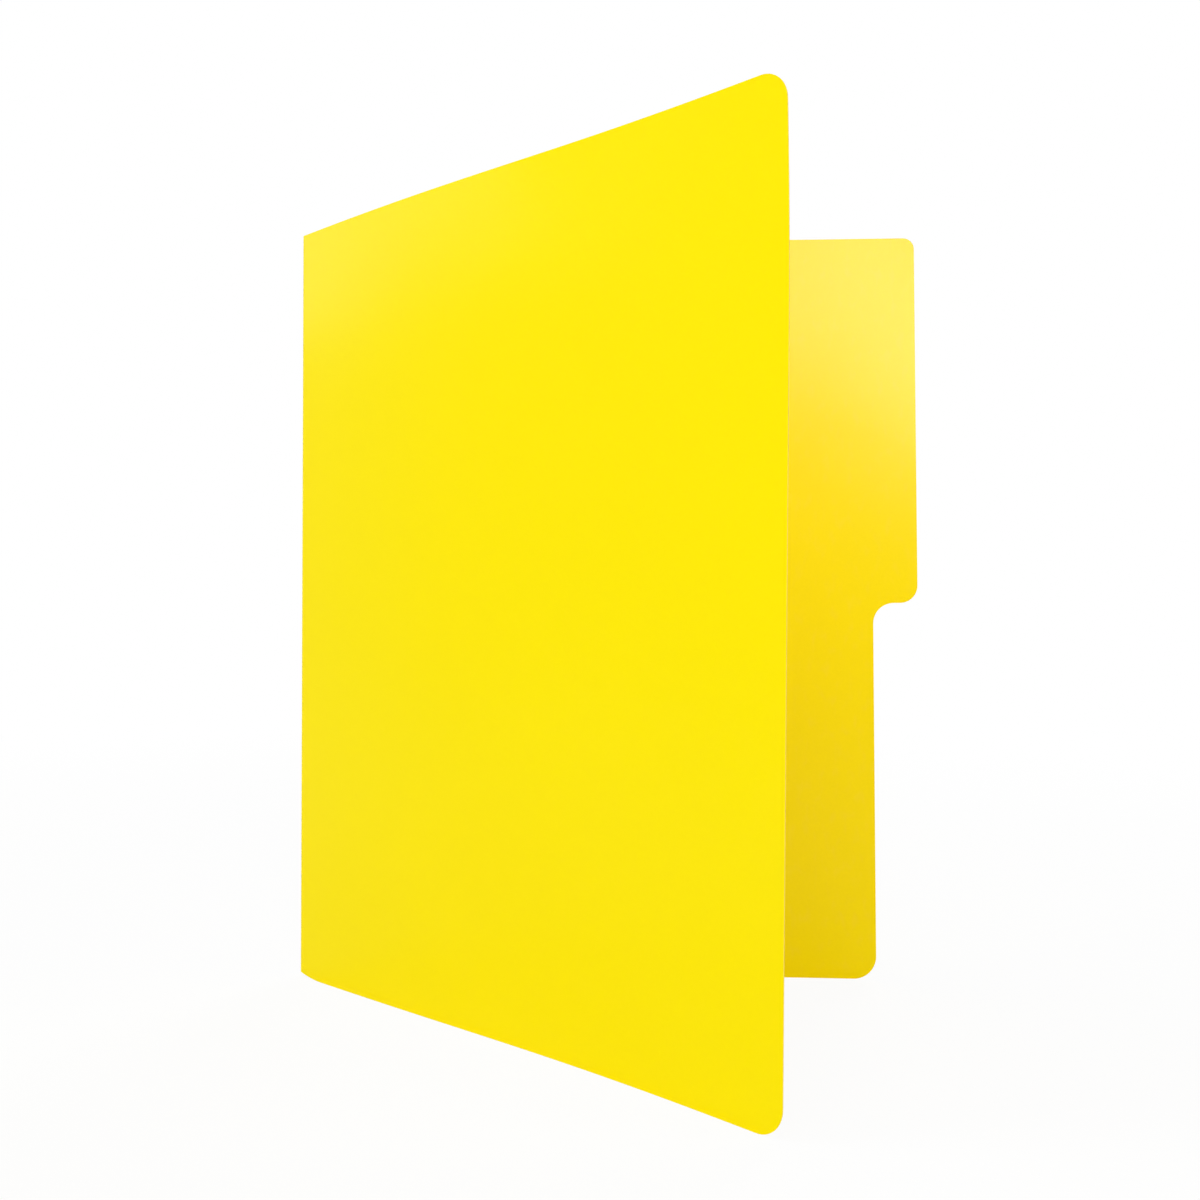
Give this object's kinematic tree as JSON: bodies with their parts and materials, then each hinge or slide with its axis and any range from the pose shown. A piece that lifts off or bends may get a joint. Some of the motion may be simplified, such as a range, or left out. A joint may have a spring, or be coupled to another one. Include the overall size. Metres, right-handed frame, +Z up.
{
  "type": "file folder",
  "caption": "File folder of creased glossy card, standing part open, with rounded die-cut corners and a half-cut index tab, for keeping loose papers together.",
  "frame": {"origin": "middle of the foot of the folder's bounding box, on the surface that the folder stands on", "axes": "+Z up along the fold, +X from the fold towards the open side, -Y towards the front leaf, +Y towards the back leaf that carries the tab"},
  "size_m": [0.2322, 0.1674, 0.2985],
  "materials": {
    "yellow_card": "gloss"
  },
  "bodies": {
    "fold_strip": {"fold_strip": "yellow_card"},
    "back_leaf": {"back_leaf": "yellow_card"},
    "front_leaf": {"front_leaf": "yellow_card"}
  },
  "joints": [
    {"name": "back_crease", "type": "hinge", "parent": "fold_strip", "child": "back_leaf", "pos_m": [-0.11574, -0.00103, 0], "axis": [0, 0, -1], "range_deg": [-70, 20]},
    {"name": "front_crease", "type": "hinge", "parent": "fold_strip", "child": "front_leaf", "pos_m": [-0.11574, -0.00503, 0], "axis": [0, 0, 1], "range_deg": [-70, 20]}
  ],
  "couplings": [
    {"joint": "front_crease", "follows": "back_crease", "ratio": 1}
  ]
}
